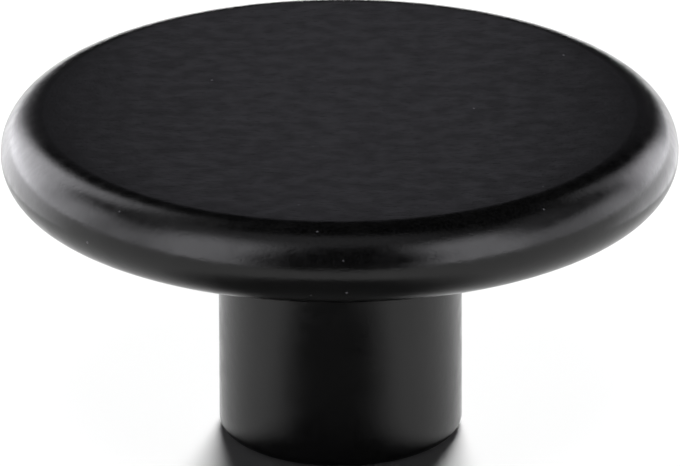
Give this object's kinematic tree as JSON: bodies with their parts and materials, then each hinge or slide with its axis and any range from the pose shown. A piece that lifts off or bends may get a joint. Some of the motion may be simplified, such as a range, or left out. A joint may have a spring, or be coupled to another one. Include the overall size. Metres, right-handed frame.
{
  "type": "cabinet knob",
  "caption": "Round turned wooden cabinet knob in satin black lacquer: a flat disc head with a rounded rim on a straight stem, screwed on from behind the door into a brass insert in its foot.",
  "frame": {"origin": "centre of the foot, the flat face that bears on the door or drawer front", "axes": "+Z along the knob's axis, out of the door towards the head; +X along the wood's grain"},
  "size_m": [0.05, 0.05, 0.025],
  "materials": {
    "lacquered_wood": "satin black lacquer over fine straight grain",
    "brass": "turned and knurled, uncoated"
  },
  "bodies": {
    "root": {"knob_body": "lacquered_wood", "threaded_insert": "brass"}
  },
  "joints": []
}
